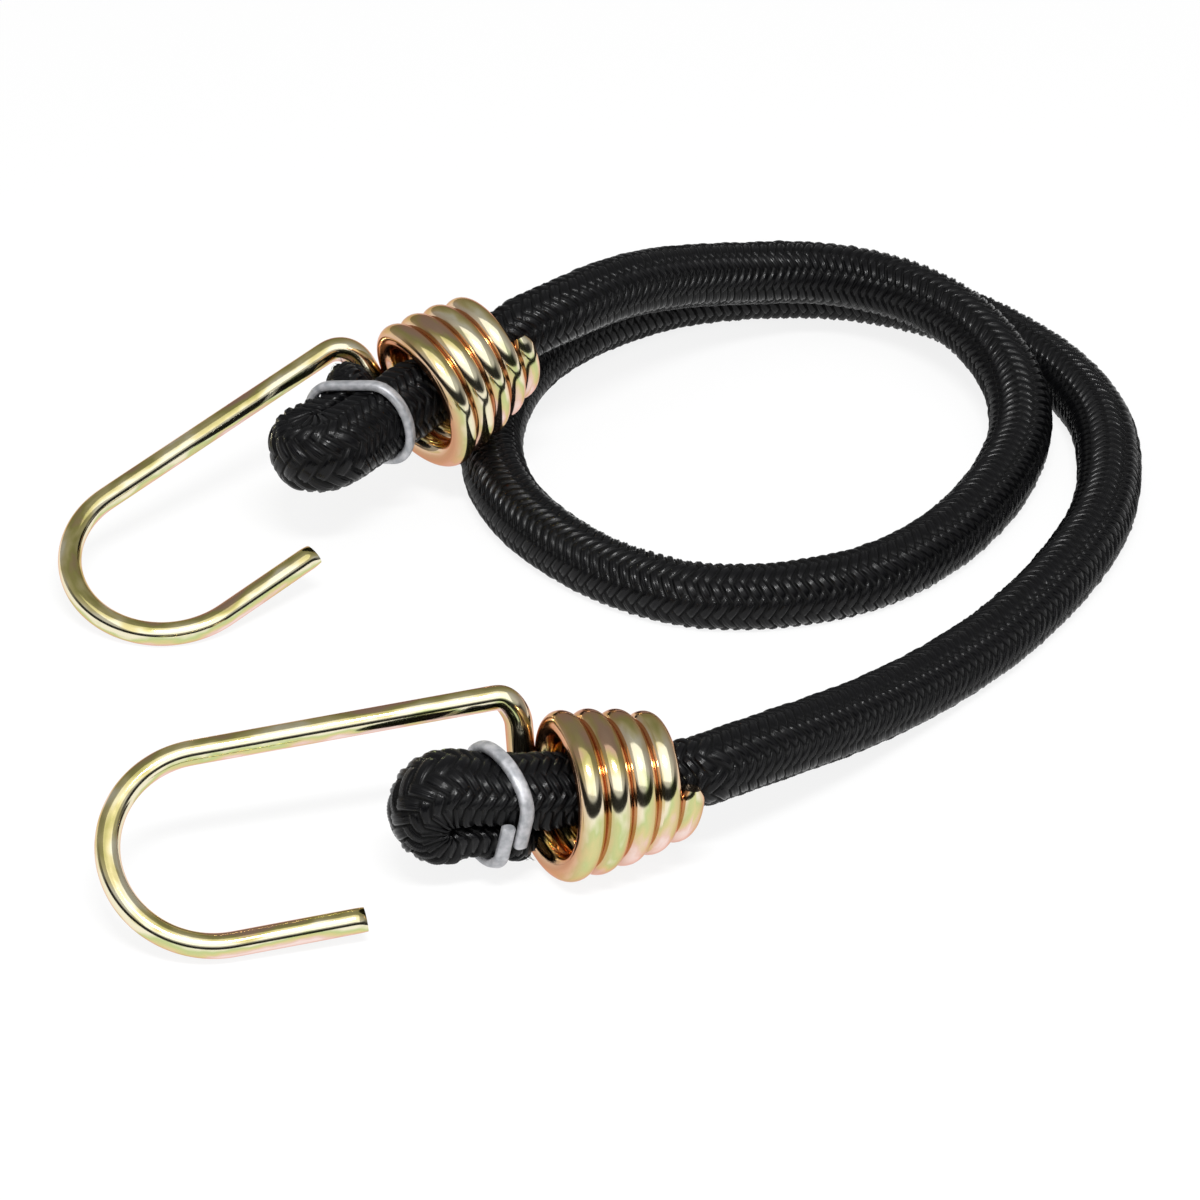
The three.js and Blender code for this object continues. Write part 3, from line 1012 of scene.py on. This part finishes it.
    def build_core(self) -> bpy.types.Object:
        """Build the bundle of square rubber threads inside the sheath.

        Returns:
            The threads, one in the middle and rings of six, twelve and so on round it.
        """
        inside = round(self.core_setback / self.row_pitch * self.rings_per_row)
        rings = np.arange(inside, len(self.line) - inside, self.core_step)
        corners = once_round(4) + np.pi / 4
        half = self.thread_width / math.sqrt(2)
        skin = Skin()
        for shell in range(self.core_rings + 1):
            for angle in once_round(max(1, 6 * shell)):
                x = shell * self.core_pitch * math.cos(angle) + half * np.cos(corners)
                y = shell * self.core_pitch * math.sin(angle) + half * np.sin(corners)
                radii = np.tile(np.hypot(x, y), (len(rings), 1))
                skin.sweep(self.section(radii, np.arctan2(y, x), rings))
        return skin.made("rubber_threads")

    def build_fray(self) -> bpy.types.Object:
        """Build the short loose fibres round both cut ends of the sheath.

        Returns:
            The fibres, each rooted in the wall.
        """
        ranges = (self.fibre_depths, self.fibre_swings, self.fibre_lengths, self.fibre_leans)
        t = np.linspace(0, 1, 5)[:, None]
        width = self.fibre_width / 2 * (1 - self.fibre_taper * t)[..., None]
        corners = once_round(4)
        skin = Skin()
        for end, inside in ((0, 4), (len(self.line) - 1, len(self.line) - 5)):
            out = units(self.line[end] - self.line[inside])
            for k in range(self.fibres):
                # Each fibre draws its chances with keys of its own.
                turned, *chances = scatter(np.arange(5) + 17 * k + 3.3 * end)
                depth, swing, long, lean = (np.interp(c, (0, 1), r) for c, r in zip(chances, ranges))
                angle = 2 * math.pi * (k + turned) / self.fibres
                radii = (self.diameter / 2 - self.wall * depth) * np.array([[1, 1.15]])
                root, rim = self.section(radii, np.array([angle, angle]), np.array([end]))[0]
                away = units(rim - root)
                bent = away * lean + np.cross(out, away) * swing
                line = root - self.fibre_root * out + long * (t * out + t**2 * bent)
                side, up = frames_along(line, away)
                fibre = line[:, None, :] + width * sections(side, up, np.cos(corners), np.sin(corners))
                fibre[..., 2] = np.maximum(fibre[..., 2], 0)
                skin.sweep(fibre)
        return skin.made("frayed_ends")

    def dress(self, rings: list[bpy.types.Object]) -> list[bpy.types.Object]:
        """Args:
            rings: The hog rings on the cord. Not used.

        Returns:
            The sheath, the rubber threads and the frayed ends.
        """
        sheath, core, fray = self.build_sheath(), self.build_core(), self.build_fray()
        braid, rubber = BraidFinish().material(), RubberFinish().material()
        dressed = ((sheath, braid, "braid"), (core, rubber, "rubber"), (fray, braid, "braid"))
        for piece, material, slot in dressed:
            piece.data.materials.append(material)
            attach(piece, "cord")
        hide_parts("braided_sheath")
        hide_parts(*(f"rubber_strand_{k}" for k in range(7)))
        return [sheath, core, fray]


@dataclass
class Hook:
    """One wire hook: the bend, shank, riser and conical coil in one length of wire.

    Cut is the length over which the shears pinched a wire's end, and cut left is the part of its thickness
    left there. The given direction lays out the plating's painted reflection: rosewood on the side of the
    wire that faces it, pink on the side that faces away.
    """

    end: CordEnd
    sizes: HookSizes = HookSizes()
    sides: int = 28
    step: float = 0.45 * MM
    cut: float = 2.0 * MM
    cut_left: float = 0.62
    painted_reflection_axis: tuple = (0.0, 0.53, 0.85)

    def build(self) -> bpy.types.Object:
        """Build the hook's wire, pinched at its two sheared ends.

        Returns:
            The hook, with how far each side of the wire faces the painted reflection's direction, and the
            painted shade in the hollows between the coil's turns, kept at its points.
        """
        place, sizes = self.end.coil(), self.sizes
        rough = sizes.line(self.end.tip_extra)
        count = round(lengths_along(rough)[-1] / self.step)
        own = rounded(evenly(rough, count)[0], reach=2)
        wound = smooth(np.clip((sizes.first + sizes.corner - own[:, 0]) / sizes.corner, 0, 1))
        own[:, 0] -= wound * (own[:, 1:] @ np.array(self.end.slope))
        line, along = place.in_part(own), lengths_along(own)
        side, up = frames_along(line, place.axes[:, 2])
        c, s = np.cos(once_round(self.sides)), np.sin(once_round(self.sides))
        radius = (sizes.wire + (sizes.coil_wire - sizes.wire) * wound)[:, None, None] / 2
        sheared = np.clip(1 - np.minimum(along, along[-1] - along) / self.cut, 0, 1)[:, None]
        flat = 1 - (1 - self.cut_left) * sheared**2
        skin = Skin()
        skin.sweep(line[:, None, :] + radius * sections(side, up, c, s * flat))
        hook = skin.made(f"wire_hook_{self.end.letter}")
        outward = sections(side, up, c, s)
        # Painted reflection: each side of the wire gets a tint by how far it faces one fixed direction.
        painted_reflection_share = 0.5 + 0.5 * outward @ np.array(self.painted_reflection_axis)
        # Painted shade between the coil's turns, strongest where the wire faces along the coil's axis.
        painted_shade_share = (outward @ place.axes[:, 0]) ** 2 * wound[:, None]
        ends = np.ones(2 * self.sides)
        paint_points(hook, "side", np.concatenate([painted_reflection_share.ravel(), 0.5 * ends]))
        paint_points(hook, "painted_shade_share", np.concatenate([painted_shade_share.ravel(), 0 * ends]))
        return hook

    def dress(self, plating: bpy.types.Material) -> bpy.types.Object:
        """Build the hook, plate it and set it on its swivel.

        Args:
            plating: The material of the plated wire.

        Returns:
            The hook.
        """
        hook = self.build()
        hook.data.materials.append(plating)
        node = f"hook_{self.end.letter}"
        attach(hook, node)
        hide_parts(node)
        return hook


@dataclass
class HogRing:
    """One hog ring: flat wire crimped round both legs of a fold, its ends side by side in the crease.

    Edge is the power that squares the wire's section, and end size is the part of it left at a cut end.
    """

    end: CordEnd
    folds: FoldSizes = FoldSizes()
    width: float = 2.5 * MM
    thickness: float = 1.8 * MM
    edge: float = 0.7
    clearance: float = 0.05 * MM
    end_gap: float = 0.5 * MM
    end_size: float = 0.75
    overlap: float = 2.0 * MM
    bevel: float = 0.3 * MM
    sides: int = 24
    leg_points: int = 33
    points: int = 160

    def line(self) -> np.ndarray:
        """Lay the wire's centre line.

        Returns:
            Points in the fold's frame.
        """
        crimp, offset = self.end.crimp, self.folds.waist_offset
        clear = self.clearance + self.thickness / 2
        height = self.folds.waist_thickness / 2 + clear
        width = self.folds.leg_width / 2 + clear
        shift = (self.width + self.end_gap) / 2
        angle = np.linspace(0, math.pi, self.leg_points)
        over_leg = np.column_stack([offset + height * np.sin(angle), width * np.cos(angle)])
        flat = [[[-self.overlap, width]], over_leg, -over_leg, [[self.overlap, width]]]
        y, z = evenly(np.concatenate(flat), self.points)[0].T
        slant, skew = (math.tan(math.radians(tilt)) for tilt in (crimp.slant, crimp.skew))
        along = crimp.place + shift * np.linspace(1, -1, len(y)) + y * slant - z * skew
        return np.column_stack([along, offset + y, z])

    def build(self) -> bpy.types.Object:
        """Build the ring's wire with rounded edges and two cut ends.

        Returns:
            The ring.
        """
        line = rounded(self.line(), reach=4)
        side, up = frames_along(line, np.array([1.0, 0, 0]))
        c, s = np.cos(once_round(self.sides)), np.sin(once_round(self.sides))
        flat = self.thickness / 2 * np.sign(c) * np.abs(c) ** self.edge
        tall = self.width / 2 * np.sign(s) * np.abs(s) ** self.edge
        ring = sections(side, up, flat, tall)
        first = line[0] + self.end_size * ring[0] - self.bevel * units(line[1] - line[0])
        last = line[-1] + self.end_size * ring[-1] + self.bevel * units(line[-1] - line[-2])
        rings = np.concatenate([[first], line[:, None, :] + ring, [last]])
        skin = Skin()
        skin.sweep(self.end.legs().in_part(rings))
        return skin.made(f"crimped_ring_{self.end.letter}")

    def dress(self, zinc: bpy.types.Material) -> bpy.types.Object:
        """Build the ring, finish it and fix it to the cord.

        Args:
            zinc: The material of the galvanised wire.

        Returns:
            The ring.
        """
        ring = self.build()
        ring.data.materials.append(zinc)
        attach(ring, "cord")
        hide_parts(f"hog_ring_{self.end.letter}")
        return ring


@dataclass(frozen=True)
class Softbox:
    """One soft lamp: where it hangs, its width and depth in metres, and its power in watts."""

    place: tuple
    size: tuple
    power: float


@dataclass
class Studio:
    """The white table, the lamps, the room round it and the camera.

    Front and back are the room's greys at heights from straight down at 0 to straight up at 1: below the
    table, a band, a wall and the ceiling. Blend is how far to each side of the middle one turns into the
    other.
    """

    target: tuple = (42.9 * MM, 30.3 * MM, 0.0)
    elevation: float = 32.0
    distance: float = 1019.36 * MM
    lens: float = 161.46
    sensor: float = 36.0
    floor_half: float = 8.0
    heights: tuple = (0.0, 0.5, 0.51, 0.66, 0.7, 0.9, 0.97)
    front: tuple = (0.3, 0.3, 0.02, 0.02, 0.55, 0.55, 0.4)
    back: tuple = (0.3, 0.3, 0.36, 0.36, 0.36, 0.36, 0.4)
    blend: float = 0.25
    lamps: tuple = (
        Softbox((0.1, -0.545, 0.996), (1.7, 1.4), 6.0),
        Softbox((0.1, -0.52, 0.93), (0.4, 0.12), 8.8),
    )

    def aim(self, thing: bpy.types.Object, place: np.ndarray) -> None:
        """Stand a lamp or the camera at a place and point it at the cord.

        Args:
            thing: The object to move.
            place: Where it stands.
        """
        bpy.context.scene.collection.objects.link(thing)
        back = units(place - np.array(self.target))
        side = units(np.cross([0.0, 0, 1], back))
        matrix = np.eye(4)
        matrix[:3, :3] = np.stack([side, np.cross(back, side), back], axis=1)
        matrix[:3, 3] = place
        thing.matrix_world = Matrix(matrix.tolist())

    def set_camera(self) -> None:
        """Set up the camera at the photograph's angle."""
        lens = bpy.data.cameras.new("camera")
        lens.lens = self.lens
        lens.sensor_width = self.sensor
        camera = bpy.data.objects.new("camera", lens)
        angle = math.radians(self.elevation)
        away = np.array([0, -math.cos(angle), math.sin(angle)])
        self.aim(camera, np.array(self.target) + self.distance * away)
        bpy.context.scene.camera = camera

    def lay_floor(self) -> None:
        """Lay the white table top."""
        h = self.floor_half
        mesh = bpy.data.meshes.new("table_top")
        mesh.from_pydata([(-h, -h, 0), (h, -h, 0), (h, h, 0), (-h, h, 0)], [], [(0, 1, 2, 3)])
        floor = bpy.data.objects.new("table_top", mesh)
        bpy.context.scene.collection.objects.link(floor)
        floor.data.materials.append(TableFinish().material())

    def light(self) -> None:
        """Hang the soft lamps and set the even light of the room."""
        for k, softbox in enumerate(self.lamps):
            data = bpy.data.lights.new(f"softbox_{k}", "AREA")
            data.shape = "RECTANGLE"
            data.size, data.size_y = softbox.size
            data.energy = softbox.power
            self.aim(bpy.data.objects.new(f"softbox_{k}", data), np.array(softbox.place))
        self.paint_room()
        bpy.context.scene.view_settings.view_transform = "Standard"

    def paint_room(self) -> None:
        """Give the room its greys by height, in front and behind."""
        room = Nodes(bpy.data.worlds.new("room"))
        split = room.add("SeparateXYZ", {0: room.place("Generated")})
        height = room.spread(split.outputs["Z"], -1.0, 1.0)
        depth = room.spread(split.outputs["Y"], -self.blend, self.blend)
        sides = []
        for greys in (self.front, self.back):
            sides.append(room.ramp(height, self.heights, [(grey,) * 3 for grey in greys]))
        room.feed(room.shader, {"Color": room.mix(Blend.COLOURS, depth, *sides)})
        bpy.context.scene.world = room.owner


def main() -> None:
    """Build the studio and the cord's sub-assemblies, and report each piece."""
    logging.basicConfig(level=logging.INFO, format="%(name)s: %(message)s")
    studio = Studio()
    studio.set_camera()
    studio.lay_floor()
    studio.light()
    galvanised = GalvanisedFinish().material()
    plating = ZincFinish().material()
    rings = [HogRing(end.value).dress(galvanised) for end in End]
    cord = Cord()
    pieces = [*cord.dress(rings), *rings]
    pieces += [Hook(end.value).dress(plating) for end in End]
    for piece in pieces:
        LOG.info("%s: %d points", piece.name, len(piece.data.vertices))
    LOG.info("cord laid %.1f mm long", lengths_along(cord.line)[-1] / MM)
    bpy.context.view_layer.update()


if __name__ == "__main__":
    main()
